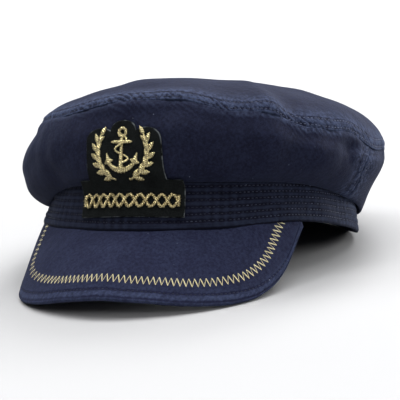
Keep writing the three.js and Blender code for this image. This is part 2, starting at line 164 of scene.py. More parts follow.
def band_radius(phi, z):
    """The band's outer radius at a height."""
    rim = around(RIM_Z, phi)
    up = (z - rim) / (around(SEAT_Z, phi) - rim)
    return around(RIM_R, phi) + BROW[0] * bell(phi, 0, BROW[1]) - around(LEAN, phi) * up


def lengths(line):
    """How far it is from each point of a line to the next."""
    return np.linalg.norm(np.diff(line, axis=0), axis=1)


def run_up(steps):
    """How far each point is along, from the steps between them."""
    return np.concatenate([[0], np.cumsum(steps)])


def read_off(line, known, wanted):
    """A line of points or directions, read where what is known along it has the wanted values."""
    return np.stack([np.interp(wanted, known, column) for column in line.T], -1)


def spread(line, places):
    """Points at shares of the way along a line of points."""
    far = run_up(lengths(line))
    return read_off(line, far, places * far[-1])


def soft_curve(points, samples=24):
    """The centripetal curve through points, sampled finely."""
    ends = [2 * points[:1] - points[1:2], points, 2 * points[-1:] - points[-2:-1]]
    p = np.concatenate(ends)
    t = np.linspace(0, 1, samples, endpoint=False)[:, None]
    parts = []
    for a, b, c, d in zip(p, p[1:], p[2:], p[3:]):
        before, here, after = (sqrt(np.linalg.norm(v)) for v in (b - a, c - b, d - c))
        leave = ((b - a) / before - (c - a) / (before + here) + (c - b) / here) * here
        arrive = ((c - b) / here - (d - b) / (here + after) + (d - c) / after) * here
        bend = (2 * b - 2 * c + leave + arrive) * t**3 + (3 * (c - b) - 2 * leave - arrive) * t**2
        parts.append(b + leave * t + bend)
    return np.concatenate(parts + [points[-1:]])


BELLY_PLACE = 0.36  # of the way up from the fold to the bulge
SHOULDER = (0.38, 0.56)  # of the way in and up from the bulge to the tip's seam


def crown_side(phi):
    """The crown's outer line at one angle as radius and height, from the band to the tip's seam."""
    seat_z, bulge_z = around(SEAT_Z, phi), around(BULGE_Z, phi)
    under_z = seat_z - around(HANG, phi)
    under_r = band_radius(phi, under_z) + SEAT_GAP + FOLD_DEPTH
    bulge_r = around(BULGE_R, phi) - folded(3, phi)
    seam_r, seam_z = around(SEAM_R, phi), around(SEAM_Z, phi) - folded(2, phi)
    belly = around(BELLY, phi)
    points = [
        (band_radius(phi, seat_z) + SEAT_GAP, seat_z),
        (under_r, under_z),
        (under_r + (bulge_r - under_r) * belly, under_z + (bulge_z - under_z) * BELLY_PLACE),
        (bulge_r, bulge_z),
        (bulge_r + (seam_r - bulge_r) * SHOULDER[0], bulge_z + (seam_z - bulge_z) * SHOULDER[1]),
        (seam_r, seam_z),
    ]
    return soft_curve(np.array(points, float))


def tip_arch(phi):
    """The tip's line at one angle as radius and height, from its seam to the apex."""
    seam_r, seam_z = around(SEAM_R, phi), around(SEAM_Z, phi) - folded(2, phi)
    t = np.cos(np.linspace(0, pi / 2, 120))
    t[-1] = 0
    rise = (1 - t ** around(POWER, phi)) ** around(ROOT, phi)
    return np.stack([seam_r * t, seam_z + (APEX - seam_z) * rise], -1)


def turned(lines, angles):
    """Sections of radius and height, each turned to its angle: a grid of points."""
    return np.stack([polar(line[:, 0], phi, line[:, 1]) for line, phi in zip(lines, angles)])


def peak_edge(s):
    """The peak's edge, s running from -1 at the left root to 1 at the right one."""
    turn = np.abs(s) * pi / 2
    last = len(PEAK_EDGE_Z) - 1
    place = np.minimum(np.abs(s) * last, last - 1e-6)
    i = np.floor(place).astype(int)
    heights = np.append(PEAK_EDGE_Z, 2 * PEAK_EDGE_Z[-1] - PEAK_EDGE_Z[-2])
    z = between(*[heights[np.abs(i + k)] for k in (-1, 0, 1, 2)], place - i)
    square_across, square_forward = PEAK_SQUARE
    drawn_in = PEAK_DRAWN_IN * step(-s, *PEAK_DRAWN_AT)
    x = np.sign(s) * PEAK_HALF_WIDTH * np.sin(turn) ** square_across + drawn_in
    y = -PEAK_ROOT_Y - PEAK_REACH * np.maximum(np.cos(turn), 0) ** square_forward
    return np.stack([x, y, z], -1)


def peak_face(s, v):
    """The peak's upper face, v running from 0 at the edge to 1 at the rim."""
    phi = s * PEAK_ROOT
    rim_z = around(RIM_Z, phi)
    root = polar(band_radius(phi, rim_z) - PEAK_GAP, phi, rim_z - PEAK_GAP)
    edge = peak_edge(s)
    slope = unit(root - edge)
    outward = polar(1, phi, 0)
    outward = unit(outward - slope * (outward * slope).sum(-1, keepdims=True))
    swell = PEAK_SWELL * (1 - s * s) * np.sin(pi * v)
    return edge + (root - edge) * v[..., None] + outward * swell[..., None]


# ---- fields and grids -----------------------------------------------------------------------
def unit(vectors):
    """Vectors made 1 long."""
    return vectors / np.maximum(np.linalg.norm(vectors, axis=-1, keepdims=True), 1e-9)


def step(value, edge, soft):
    """0 below the edge and 1 above it, over a soft width."""
    t = np.clip((value - edge) / soft + 0.5, 0, 1)
    return t * t * (3 - 2 * t)


def ridge(distance, width):
    """1 at no distance, falling off over a width on both sides."""
    return np.exp(-((distance / width) ** 2))


def ripple(phi, low, high, seed):
    """An even ripple round the head with between low and high waves in a turn, about 1 tall."""
    chance = np.random.RandomState(seed)
    counts = np.arange(low, high + 1)
    phases = chance.uniform(0, tau, len(counts))
    waves = sum(np.sin(k * phi + phase) for k, phase in zip(counts, phases))
    return waves / sqrt(len(counts) / 2)


def drift(x, y, size, seed, waves=9):
    """Soft bumps of about the given size, about 1 tall."""
    chance = np.random.RandomState(seed)
    total = 0
    for _ in range(waves):
        turn, phase = chance.uniform(0, tau, 2)
        pace = tau / size * chance.uniform(0.6, 1.3)
        total = total + np.sin((x * cos(turn) + y * sin(turn)) * pace + phase)
    return total / sqrt(waves / 2)


def along(grid, axis):
    """How far each point is along its row (axis 0) or column (axis 1), in mm."""
    steps = np.linalg.norm(np.diff(grid, axis=axis), axis=-1)
    pad = [(1, 0), (0, 0)] if axis == 0 else [(0, 0), (1, 0)]
    return np.cumsum(np.pad(steps, pad), axis=axis)


STANDING_OUT_FULLY = 0.25  # mm over the neighbourhood


def standing_out(relief, closed=False):
    """Where a relief stands above or lies below its neighbourhood, from -1 to 1. The cloth is
    painted pale where it stands above, as wear and painted highlight, and dark where it lies
    below, as painted shade.
    """
    around_it = relief
    for axis in (0, 1):
        for shift in (3, 5):
            back, on = (np.roll(around_it, way, axis) for way in (-shift, shift))
            around_it = (2 * around_it + back + on) / 4
    rub = (relief - around_it) / STANDING_OUT_FULLY
    if not closed:
        rub[:6] = rub[-6:] = 0
    rub[:, -3:] *= 0.3
    return np.clip(rub, -1, 1)


def grid_normals(grid, closed=False):
    """The outward normals of a grid whose columns run to the right and rows upwards."""
    if closed:
        across = np.roll(grid, -1, 0) - np.roll(grid, 1, 0)
    else:
        across = np.gradient(grid, axis=0)
    return unit(np.cross(across, np.gradient(grid, axis=1)))


def numbered(columns, rows, closed):
    """The numbers of a grid's points, with its first column again at the end if it is closed."""
    index = np.arange(columns * rows).reshape(columns, rows)
    return np.concatenate([index, index[:1]]) if closed else index


def cells(index):
    """The four points round each cell of a grid of numbered points."""
    corners = index[:-1, :-1], index[1:, :-1], index[1:, 1:], index[:-1, 1:]
    return np.stack(corners, -1).reshape(-1, 4)


class Cloth:
    """A closed wall of cloth between an outer and an inner grid of points."""

    def __init__(self, name, outer, inner, uv, rub, gather=None, closed=False, pole=False):
        columns, rows = outer.shape[:2]
        self.outer, self.closed = outer, closed
        self.normals = grid_normals(outer, closed)
        points = np.concatenate([outer.reshape(-1, 3), inner.reshape(-1, 3)])
        index = numbered(columns, rows, closed)
        if pole:
            index[:, -1] = index[0, -1]
        under = index + columns * rows
        quads = [cells(index), cells(under)[:, [0, 3, 2, 1]]]
        rim = [(index[:, 0], under[:, 0], 1)]
        if not pole:
            rim.append((index[:, -1], under[:, -1], -1))
        if not closed:
            rim += [(index[0], under[0], -1), (index[-1], under[-1], 1)]
        for top, low, way in rim:
            strip = np.stack([top[:-1], low[:-1], low[1:], top[1:]], -1)
            quads.append(strip if way > 0 else strip[:, ::-1])
        faces = [tuple(dict.fromkeys(face)) for face in np.concatenate(quads).tolist()]
        uvs = np.concatenate([uv.reshape(-1, 2), uv.reshape(-1, 2)])
        marks = {"rub": rub, "gather": 0 * rub if gather is None else gather}
        for key, mark in marks.items():
            marks[key] = np.concatenate([mark.ravel(), 0 * mark.ravel()])
        self.piece = new_mesh(name, lay(points), faces, uvs, marks)


def new_mesh(name, points, faces, uvs, marks=None):
    """An object of the given points and faces, smooth shaded, unused points left out. uvs are in
    mm. marks are numbers at the points: how far the cloth stands out, above 0, where it is painted
    pale as wear and painted highlight, or lies deep, below it, where it is painted dark as painted
    shade; and gather, how much sewing crumples it, which also paints it pale: lint and wear, and
    painted highlight along the seams and the band's sides."""
    mesh = bpy.data.meshes.new(name)
    used = np.unique(np.concatenate([np.array(face) for face in faces]))
    place = np.zeros(len(points), int)
    place[used] = np.arange(len(used))
    mesh.from_pydata(points[used].tolist(), [], [[int(place[i]) for i in face] for face in faces])
    layer = mesh.uv_layers.new(name="cloth")
    corners = np.empty(len(mesh.loops), np.int32)
    mesh.loops.foreach_get("vertex_index", corners)
    layer.data.foreach_set("uv", (uvs[used][corners] * MM).astype(np.float32).ravel())
    for key, mark in (marks or {}).items():
        layer = mesh.attributes.new(key, "FLOAT", "POINT")
        layer.data.foreach_set("value", mark[used].astype(np.float32))
    mesh.polygons.foreach_set("use_smooth", np.ones(len(mesh.polygons), bool))
    mesh.update()
    piece = bpy.data.objects.new(name, mesh)
    bpy.context.scene.collection.objects.link(piece)
    return piece


def steps_to(total, fine, count, coarse):
    """Shares of a length: count fine steps of so many mm, then coarse even steps to its end."""
    start = np.arange(count) * fine / total
    return np.concatenate([start, np.linspace(count * fine / total, 1, coarse)])


# ---- the crown ------------------------------------------------------------------------------
# Reliefs are sums of heights in mm, each falling off over its own width from its own place.
CLOTH = 1.2  # thickness of a crown panel
SEAM_ROWS = (1.8, 5.8)  # the tip's two stitch rows, from its seam
FLANGE = 7.2  # the tip's turned-in edge reaches this far from the seam
SIDE_ROW = 4.0  # the side seams' stitch rows, each side
SIDE_FLANGE = 5.4  # the side seams' allowances reach this far
SEAM_BOW = radians(5)  # the side seams bow to the front by this much
SEAM_BOW_PLACE = (0.7, 0.24)  # round this share of their height, over this share
SEAM_BOW_REACH = 0.35  # radians to each side
PUCKERS = (96, 210)  # in a turn of the tip's seam
PUCKER_SLANT = 0.012  # radians for each mm from the seam
TIP_CREASES = [(44.5, 4.0, 1.8), (52.0, 4.5, -1.8)]  # angle and width in degrees, and height
TIP_CREASE_PLACE = (4, 24)  # from the seam, and how far they reach
TIP_WORN = (11, 4)  # the tip is worn this far from its seam, and most by this far
UNDER_SEAM_HIGHLIGHT = 3  # the side is painted pale this far under the tip's seam: a painted highlight on its roll
UNDER_SEAM_HIGHLIGHT_MOST = (56, 18)  # and most round this angle, in degrees, and for this width
SIDE_SEAM_WORN_AND_LIT = 13  # and this far from the side seams: lint, wear and painted highlight
SIDE_GATHERS = 4.4  # from one gather of the side seams to the next
SIDE_DENT = (-2.0, 10, 38, 9)  # beside the side seams: depth, width, height and reach
SEAM_OPEN = (-14, 46)  # the tip's seam lies open round this angle, for this width


def puckers(phi, away):
    """The gathers that the tip's seam pulls into the cloth, leaning as they leave it."""
    lean = phi + away * PUCKER_SLANT + 0.01 * ripple(phi, 9, 31, seed=6)
    return ripple(lean, *PUCKERS, seed=4) * (0.6 + 0.4 * ripple(phi, 5, 21, seed=5))


def near_seam(away, reach):
    """How much a seam crumples the cloth at a distance from it, and how pale the cloth is painted
    there.
    """
    return 1 - step(away, reach, reach)


def tip_relief(phi, away, x, y):
    """How far the tip's cloth stands off its smooth shape, away being the distance from its seam:
    its broad folds, and the fine relief of its sewing."""
    seam = -0.2 * ridge(away, 0.8) + 0.3 * (1 - step(away, FLANGE, 2.4))
    rows = sum(-0.28 * ridge(away - row, 0.7) for row in SEAM_ROWS)
    gather = 0.2 * ridge(away - 3.6, 2.6) + 0.11 * np.exp(-away / 7)
    inner = step(away, 12, 18)
    middle, reach = TIP_CREASE_PLACE
    crease = sum(height * bell(phi, turn, wide) for turn, wide, height in TIP_CREASES)
    crease = crease * ridge(away - middle, reach)
    sag = 0.4 * drift(x, y, 62, seed=11) + 0.2 * drift(x, y, 27, seed=12)
    return seam + crease + inner * sag, rows + gather * puckers(phi, away)


# Soft dents and swells of the crown's side: angle and width in degrees, height, reach and depth.
DENTS = [
    (0, 15, 47, 14, -3.5),  # pressed flat behind the patch
    (0, 19, 24, 9, 3.0),  # and drawn out by it over the band
    (37, 5, 41, 9, -1.6),
    (46, 5, 37, 11, 1.5),
    (62, 8, 38, 9, 0.8),
    (74, 4.5, 44, 6, -2.4),
    (77.5, 2.8, 42, 8, -2.6),
    (-67, 13, 53, 7, -2.3),
    (-66, 14, 20, 6, 1.6),
    (-32, 6, 27, 6, -1.3),
    (-24, 7, 34, 8, 0.9),
]
ROUND = 104  # the crown's mean radius


def side_relief(phi, below, height):
    """The same for the crown's side, below being the distance from the tip's seam."""
    x, y = phi * ROUND, height
    lip = 0.12 - 0.34 * bell(phi, *SEAM_OPEN)
    seam = lip * ridge(below, 0.8) + 0.3 * ridge(below - 2.4, 2.2)
    gather = (0.14 * np.exp(-below / 3) + 0.05 * np.exp(-below / 9)) * puckers(phi, -below)
    sag = 0.55 * drift(x, y, 46, seed=21) + 0.25 * drift(x, y, 19, seed=22)
    dents = sum(
        depth * bell(phi, turn, wide) * ridge(height - middle, tall)
        for turn, wide, middle, tall, depth in DENTS
    )
    return seam + step(height, 30, 10) * sag + step(below, 4.5, 7) * dents, gather


def seam_relief(away, height):
    """The side seams' flanges, stitch rows and gathers, away being the distance from the seam."""
    near = np.abs(away)
    wander = height + 1.2 * drift(height, away, 17, seed=23)
    gather = 0.26 * ridge(near - 3.2, 3.2) * np.sin(wander * tau / SIDE_GATHERS + 0.5 * near)
    rows = -0.35 * ridge(near - SIDE_ROW, 0.6)
    depth, wide, middle, tall = SIDE_DENT
    dent = depth * ridge(near, wide) * ridge(height - middle, tall)
    seam = -0.6 * ridge(near, 0.6) + 0.55 * (1 - step(near, SIDE_FLANGE, 1.6))
    return dent, seam + rows + gather


def raise_by(grid, relief, closed=False):
    """A grid moved along its normals by a relief."""
    return grid + grid_normals(grid, closed) * relief[..., None]


def from_front(phi):
    """Angles as they are seen from the front, up to half a turn each way."""
    return (phi + pi) % tau - pi


def seam_angles(phi):
    """How far angles are from the nearest side seam, in radians, front positive."""
    return SIDE_SEAM - np.abs(from_front(phi))


SIDE_ROWS = 76
SIDE_ANGLES = 720  # the crown's side is worked out at so many angles, and read off between them
SIDE_LINES = np.array(
    [
        spread(crown_side(phi), np.linspace(0, 1, SIDE_ROWS + 1))
        for phi in np.arange(SIDE_ANGLES) * tau / SIDE_ANGLES
    ]
)


def crown_panel(name, start, end, columns):
    """The front or back of the crown's side, between the two side seams. The seams bow to the front
    halfway up, and the cloth with them."""
    shape = columns + 1, SIDE_ROWS + 1
    phi = np.broadcast_to(np.linspace(start, end, columns + 1)[:, None], shape)
    share = np.broadcast_to(np.linspace(0, 1, SIDE_ROWS + 1), shape)
    middle, reach = SEAM_BOW_PLACE
    bow = SEAM_BOW * ridge(share - middle, reach) * ridge(seam_angles(phi), SEAM_BOW_REACH)
    turn = from_front(phi)
    turn = turn - np.sign(turn) * bow
    place = turn / tau * SIDE_ANGLES
    i = np.floor(place).astype(int)
    row = np.arange(SIDE_ROWS + 1)
    low, high = SIDE_LINES[i % SIDE_ANGLES, row], SIDE_LINES[(i + 1) % SIDE_ANGLES, row]
    line = low + (high - low) * (place - i)[..., None]
    grid = polar(line[..., 0], turn, line[..., 1])
    up = along(grid, 1)
    below = up[:, -1:] - up
    height = grid[..., 2]
    away = seam_angles(phi) * np.hypot(grid[..., 0], grid[..., 1])
    shown = step(up, 6, 6)
    broad, fine = side_relief(phi, below, height)
    dent, sewn = seam_relief(away, height)
    broad, fine = (broad + dent) * shown, (fine + sewn) * shown
    relief = broad + fine
    outer = raise_by(grid, relief)
    inner = raise_by(grid, np.minimum(relief, 0) - CLOTH)
    uv = np.stack([phi * ROUND, up], -1)
    # Pale under the tip's seam, most round one angle: painted highlight on its roll. Pale by the
    # side seams: lint, wear and painted highlight.
    rolled_highlight = (0.3 + 0.7 * bell(phi, *UNDER_SEAM_HIGHLIGHT_MOST)) * near_seam(below, UNDER_SEAM_HIGHLIGHT)
    gather = np.maximum(rolled_highlight, near_seam(np.abs(away), SIDE_SEAM_WORN_AND_LIT))
    cloth = Cloth(name, outer, inner, uv, standing_out(fine), gather)
    cloth.up, cloth.away = up, away
    return cloth


def crown_tip(columns):
    """The tip, from its seam to the middle, with its edge turned in and stitched down."""
    angles = np.linspace(0, tau, columns, endpoint=False)
    lines = []
    for phi in angles:
        arch = tip_arch(phi)
        lines.append(spread(arch, steps_to(lengths(arch).sum(), 0.7, 19, 30)))
    grid = turned(lines, angles)
    phi = np.broadcast_to(angles[:, None], grid.shape[:2])
    away = along(grid, 1)
    broad, fine = tip_relief(phi, away, grid[..., 0], grid[..., 1])
    relief = broad + fine
    middle = grid[:, -1:, :2].mean(0)
    fade = np.clip(np.hypot(*(grid[..., :2] - middle).transpose(2, 0, 1)) / 6, 0, 1)
    still = relief[:, -1].mean()
    relief = still + (relief - still) * fade
    normals = grid_normals(grid, True)
    normals[:, -1] = (0, 0, 1)
    outer = grid + normals * relief[..., None]
    outer[:, -1] = outer[0, -1]
    inner = grid + normals * (np.minimum(relief, 0) - CLOTH)[..., None]
    wide, most = TIP_WORN
    rub, gather = standing_out(fine, True), near_seam(away, wide) + 0.4 * near_seam(away, most)
    uv = grid[..., :2]
    cloth = Cloth("crown_tip_cloth", outer, inner, uv, rub, gather, closed=True, pole=True)
    cloth.away = away
    return cloth


front = crown_panel("crown_front_cloth", -SIDE_SEAM, SIDE_SEAM, 340)
back = crown_panel("crown_back_cloth", SIDE_SEAM, tau - SIDE_SEAM, 340)
tip = crown_tip(900)

# ---- the band -------------------------------------------------------------------------------
BAND_WALL = 2.4
BAND_ROWS = (0.17, 0.31, 0.45, 0.6, 0.74, 0.88)  # stitch rows, as shares of the height
BAND_ROUND = 92  # its mean radius
BAND_TALL = 26  # its usual height
BAND_WORN_AND_LIT = [(42, 50, 0.5), (88, 24, 0.6)]  # paler past this angle, over this width, by this much: wear and painted light


def band_height(phi):
    """The height of the band's lower edge, which the floor lifts where it would go through."""
    rim = around(RIM_Z, phi)
    radius = band_radius(phi, rim)
    floor = (-radius * np.cos(phi) * sin(PITCH) - HEAD.z / MM) / cos(PITCH)
    return np.maximum(rim, floor)


def band_face(columns, rows, inset):
    """One face of the band inset from its outer face, with heights and shares of the height."""
    shape = columns, rows + 1
    phi = np.broadcast_to(np.linspace(0, tau, columns, endpoint=False)[:, None], shape)
    share = np.broadcast_to(np.linspace(0, 1, rows + 1), shape)
    low = band_height(phi)
    z = low + (around(SEAT_Z, phi) - low) * share
    return polar(band_radius(phi, z) - inset, phi, z), phi, share


def head_band(columns, rows):
    """The band, quilted by its stitch rows, and paler towards its sides: wear, and painted
    light from the side.
    """
    outer, phi, share = band_face(columns, rows, 0)
    tall = along(outer, 1)
    around_it = phi * BAND_ROUND
    rolls = sum(ridge((share - row) * BAND_TALL, 0.75) for row in BAND_ROWS)
    quilt = 0.3 - 0.42 * rolls
    tuck = 0.08 * ripple(phi, 95, 125, seed=31) * (0.4 + rolls)
    wave = 0.3 * drift(around_it, share * BAND_TALL, 30, seed=32)
    hem = -0.7 * ridge(tall, 0.7)
    outer = raise_by(outer, quilt + tuck + wave * step(share, 0.12, 0.2) + hem, True)
    inner, *_ = band_face(columns, rows, BAND_WALL)
    inner_hem = 0.8 * ridge(along(inner, 1), 0.8)
    inner = raise_by(inner, inner_hem, True)
    uv = np.stack([around_it, tall], -1)
    rub = standing_out(quilt + tuck + hem, True)
    turn = np.degrees(np.abs(from_front(phi)))
    # Paler towards the sides: wear, and painted light where the side light falls.
    worn_and_lit = sum((most * step(turn, angle, soft) for angle, soft, most in BAND_WORN_AND_LIT), 0.05)
    cloth = Cloth("head_band_cloth", outer, inner, uv, rub, worn_and_lit, closed=True)
    cloth.share = share
    return cloth


band = head_band(720, 44)

# ---- the peak -------------------------------------------------------------------------------
BOARD = 3
PEAK_ROW = 6.2  # the stitch row along the peak's edge
TUCKED = 1.04  # the peak's face runs on under the band
CLOSER = 1.25  # a power that brings the rows of points closer together towards the edge
ROUNDED = 0.995  # the edge is round but for a narrow flat, so that no face there is too thin


def peak_cloth(columns, rows):
    """The peak: a board between two cloths that meet in a rounded edge."""
    s = np.linspace(-1, 1, columns + 1)
    v = np.linspace(0, 1, rows + 1) ** CLOSER * TUCKED
    s, v = np.meshgrid(s, v, indexing="ij")
    grid = peak_face(s, v)
    normals = grid_normals(grid)
    away = along(grid, 1)
    roll = BOARD / 2
    edge = np.clip(1 - away / roll, 0, ROUNDED)
    sink = roll * (1 - np.sqrt(1 - edge**2))
    crease = -0.3 * ridge(away - 1.7, 0.45) - 0.25 * ridge(away - PEAK_ROW, 0.6)
    soft = 0.25 * drift(grid[..., 0], grid[..., 1], 34, seed=41) * step(away, 8, 6)
    round_it = along(grid, 0)
    tuck = 0.035 * ridge(away - 4, 2.5) * np.sin(round_it * tau / 3.4 + away)
    outer = grid + normals * (crease + soft + tuck - sink)[..., None]
    inner = grid - normals * (BOARD - sink)[..., None]
    halfway = np.broadcast_to(round_it[:, rows // 2, None], away.shape)
    uv = np.stack([halfway, away], -1)
    cloth = Cloth("peak_cloth", outer, inner, uv, standing_out(crease + tuck), 0.3 * near_seam(away, 6))
    cloth.away = away
    return cloth


peak = peak_cloth(420, 72)

# ---- thread ---------------------------------------------------------------------------------
def along_place(lines, normals, place, wanted):
    """The points and normals where a field that grows or falls along each line has a value."""
    points, ups = [], []
    for line, normal, field in zip(lines, normals, place):
        order = slice(None) if field[-1] > field[0] else slice(None, None, -1)
        points.append(read_off(line[order], field[order], wanted))
        ups.append(read_off(normal[order], field[order], wanted))
    return np.array(points), np.array(ups)


def at_place(cloth, place, wanted):
    """The line on a cloth where a field over it has a value."""
    return along_place(cloth.outer, cloth.normals, place, wanted)


def tree_of(cloth):
    """A cloth's outer face, to look up its nearest point or what a ray meets."""
    quads = cells(numbered(*cloth.outer.shape[:2], cloth.closed))
    return BVHTree.FromPolygons(cloth.outer.reshape(-1, 3).tolist(), quads.tolist())


def walk(points, normals, pace, closed=False):
    """Evenly paced points along a line, with their normals."""
    if closed:
        points, normals = (np.concatenate([a, a[:1]]) for a in (points, normals))
    steps = lengths(points)
    long = steps.sum()
    places = np.linspace(0, 1, max(round(long / pace), 2) + 1)
    return spread(points, places), read_off(normals, run_up(steps) / long, places)


def grain(rings, sides):
    """One stitch from -0.5 to 0.5 along x, 1 wide and 1 high, as points and faces."""
    turns = np.arange(sides) * tau / sides
    points = [(-0.5, 0, -0.5)]
    for k in range(rings):
        x = -cos((k + 1) / (rings + 1) * pi) / 2
        wide = (1 - (2 * x) ** 4) ** 0.5 / 2
        points += [(x, wide * sin(turn), wide * cos(turn)) for turn in turns]
    points.append((0.5, 0, -0.5))

    def ring(k, i):
        return 1 + k * sides + i % sides

    faces = [(0, ring(0, i), ring(0, i + 1)) for i in range(sides)]
    for k in range(rings - 1):
        for i in range(sides):
            faces.append((ring(k, i), ring(k + 1, i), ring(k + 1, i + 1), ring(k, i + 1)))
    last = rings - 1
    faces += [(len(points) - 1, ring(last, i + 1), ring(last, i)) for i in range(sides)]
    return np.array(points), faces


class Thread:
    """Stitches gathered into one piece."""

    def __init__(self, name, rings=3, sides=5):
        self.name, self.points, self.uvs = name, [], []
        self.form, self.faces = grain(rings, sides)

    def add(self, starts, ends, normals, width, height, lift=0.0):
        """Stitches from starts to ends, lying on a cloth with the given normals."""
        ahead = ends - starts
        long = np.linalg.norm(ahead, axis=1)[:, None, None]
        ahead, up = unit(ahead), unit(normals)
        side = unit(np.cross(up, ahead))
        x, y, z = (self.form[None, :, k, None] for k in range(3))
        rise = z * height + lift * (1 - 4 * x**2)
        middle = (starts + ends)[:, None] / 2
        points = middle + ahead[:, None] * x * long + side[:, None] * y * width + up[:, None] * rise
        self.points.append(points.reshape(-1, 3))
        flat = np.stack(np.broadcast_arrays(x * long, y * width + 0 * long), -1)
        self.uvs.append(flat.reshape(-1, 2))

    def row(self, line, normals, pace, share, width, height, closed=False):
        """A running row of stitches, each a share of the pace long."""
        points, ups = walk(line, normals, pace, closed)
        gap = (points[1:] - points[:-1]) * (1 - share) / 2
        self.add(points[:-1] + gap, points[1:] - gap, (ups[1:] + ups[:-1]) / 2, width, height)

    def sew(self):
        """All the stitches as one piece."""
        points = np.concatenate(self.points)
        starts = range(0, len(points), len(self.form))
        faces = [tuple(i + start for i in face) for start in starts for face in self.faces]
        return new_mesh(self.name, lay(points), faces, np.concatenate(self.uvs))


PACE = 2.3  # of the navy stitches
CROWN_STITCH = 0.62  # of the pace that a stitch takes, on the crown
STITCH = 0.6  # and on the band and the peak
NAVY_THREAD = (0.5, 0.38)  # width and height
BAND_THREAD = (0.46, 0.3)

SIDE_START = 8  # the side seams' rows start this far up the cloth
SIDE_COLUMNS = 14  # a panel's columns beside a side seam, where its stitch row lies
PEAK_BARE = 24  # the peak's columns without stitches at each end

crown_thread = Thread("crown_stitches")
for row in SEAM_ROWS:
    crown_thread.row(*at_place(tip, tip.away, row), PACE, CROWN_STITCH, *NAVY_THREAD, closed=True)
for panel in (front, back):
    for end in (slice(0, SIDE_COLUMNS), slice(-SIDE_COLUMNS, None)):
        rows = panel.outer[end].swapaxes(0, 1), panel.normals[end].swapaxes(0, 1)
        line, ups = along_place(*rows, np.abs(panel.away[end]).T, SIDE_ROW)
        seen = slice(np.searchsorted(panel.up[0], SIDE_START), -2)
        crown_thread.row(line[seen], ups[seen], PACE, CROWN_STITCH, *NAVY_THREAD)

band_thread = Thread("band_stitches")
for row in BAND_ROWS:
    band_thread.row(*at_place(band, band.share, row), PACE, STITCH, *BAND_THREAD, closed=True)

peak_thread = Thread("peak_stitches")
peak_line, peak_ups = at_place(peak, peak.away, PEAK_ROW)
seen = slice(PEAK_BARE, -PEAK_BARE)
peak_thread.row(peak_line[seen], peak_ups[seen], PACE, STITCH, *NAVY_THREAD)

# The gold zigzag runs a little inside the peak's edge.
ZIGZAG = 13.0  # from the edge to its middle
ZIGZAG_DRIFT = 4.0  # it lies this much further in at the left
ZIGZAG_DRIFT_AT = (0.5, 0.7)  # round this share of the way to the left root, over this share
ZIGZAG_REACH = 2.45  # of its points to each side
ZIGZAG_STROKE = 1.55  # from one point to the next, along the edge
ZIGZAG_EASE = 0.9  # by this share further round the left corner
ZIGZAG_EASE_AT = (0.65, 0.2)  # that corner's share of the way to the left root, and its width
ZIGZAG_ENDS = 2  # strokes left out at the ends of the edge
GOLD_THICK = (0.68, 0.3)  # width and height of every other stroke
GOLD_THIN = (0.34, 0.2)  # and of those between, the thread being pulled tight there
GOLD_TURNS = 0.3  # the two change places this far along
GOLD_LIFT = 0.1  # the thick strokes' middles stand up this much
GOLD_OVERLAP = 0.25  # strokes run on past their points


def zigzag():
    """The zigzag's points, and the way that the peak's face looks there."""
    s = np.linspace(-0.999, 0.999, len(peak.outer))
    edge = peak_edge(s)
    tree = tree_of(peak)
    ahead = unit(np.gradient(edge, axis=0))
    _, facing = at_place(peak, peak.away, 5)
    inward = unit(np.cross(facing, ahead))

    def inside(distance):
        distance = distance + ZIGZAG_DRIFT * step(-s, *ZIGZAG_DRIFT_AT)
        hits = [tree.find_nearest(Vector(p)) for p in edge + inward * distance[:, None]]
        return np.array([hit[0] for hit in hits]), np.array([hit[1] for hit in hits])

    middle, _ = inside(ZIGZAG)
    corner, wide = ZIGZAG_EASE_AT
    pace = ZIGZAG_STROKE * (1 + ZIGZAG_EASE * ridge(s[1:] + corner, wide))
    strokes = run_up(lengths(middle) / pace)
    stops = np.arange(ZIGZAG_ENDS, strokes[-1] - ZIGZAG_ENDS)
    (outer, up), (inner, _) = inside(ZIGZAG - ZIGZAG_REACH), inside(ZIGZAG + ZIGZAG_REACH)
    outer, inner, up = (read_off(line, strokes, stops) for line in (outer, inner, up))
    return np.where(np.arange(len(stops))[:, None] % 2 == 0, outer, inner), up


gold_thread = Thread("peak_zigzag", rings=5, sides=6)
corners, ups = zigzag()
reach = unit(corners[1:] - corners[:-1]) * GOLD_OVERLAP
starts, ends, facing = corners[:-1] - reach, corners[1:] + reach, (ups[1:] + ups[:-1]) / 2
order = np.arange(len(starts))
thick = (order % 2 == 0) == (order < GOLD_TURNS * len(order))
gold_thread.add(starts[~thick], ends[~thick], facing[~thick], *GOLD_THIN)
gold_thread.add(starts[thick], ends[thick], facing[thick], *GOLD_THICK, lift=GOLD_LIFT)

# ---- the badge ------------------------------------------------------------------------------
FELT = 1.5
FELT_LOW = 0.15  # the felt's back stands off the cloth
STIFF = 24  # rounds of bridging: the stiff felt spans hollows and rests on what stands out
EVEN = 6  # rounds of evening out after them
UPRIGHT = 0.15  # of the front's slope that what stands on it leans with


